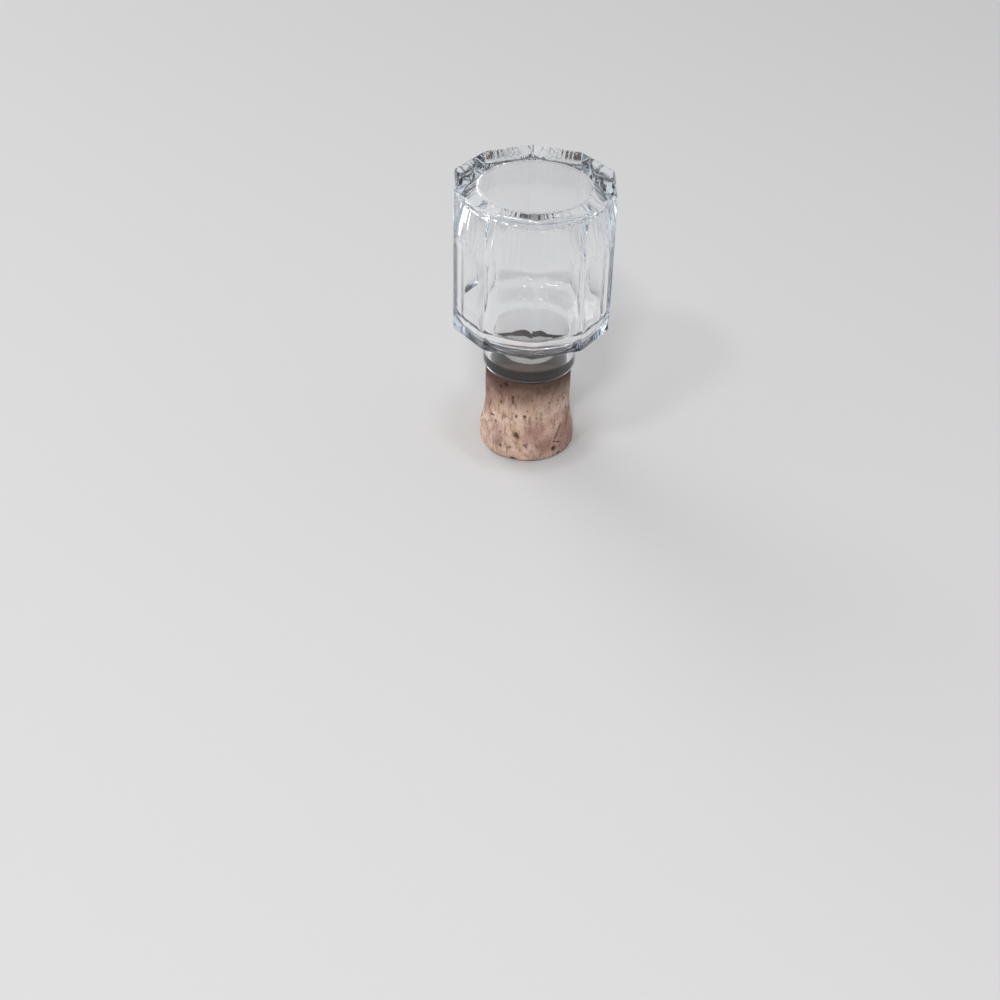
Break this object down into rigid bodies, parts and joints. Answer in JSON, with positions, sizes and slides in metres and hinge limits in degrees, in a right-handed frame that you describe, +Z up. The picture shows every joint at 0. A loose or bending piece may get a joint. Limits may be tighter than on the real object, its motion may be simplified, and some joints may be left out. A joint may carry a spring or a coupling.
{
  "type": "glass stopper",
  "caption": "Hollow many-sided glass stopper head with a sloped shoulder and round neck, on a glued natural cork plug with a flared lip.",
  "frame": {"origin": "middle of the cork's flat lower end, on which the stopper stands", "axes": "+Z up along the stopper's axis, from the cork to the head's flat top; one corner of the ten-sided head points along -Y"},
  "size_m": [0.0458, 0.048, 0.0878],
  "materials": {
    "clear_glass": "polished, clear, faintly blue at the edges",
    "natural_cork": "matt natural cork with pits and dark stains"
  },
  "bodies": {
    "root": {"glass_head": "clear_glass", "cork_plug": "natural_cork"}
  },
  "joints": []
}
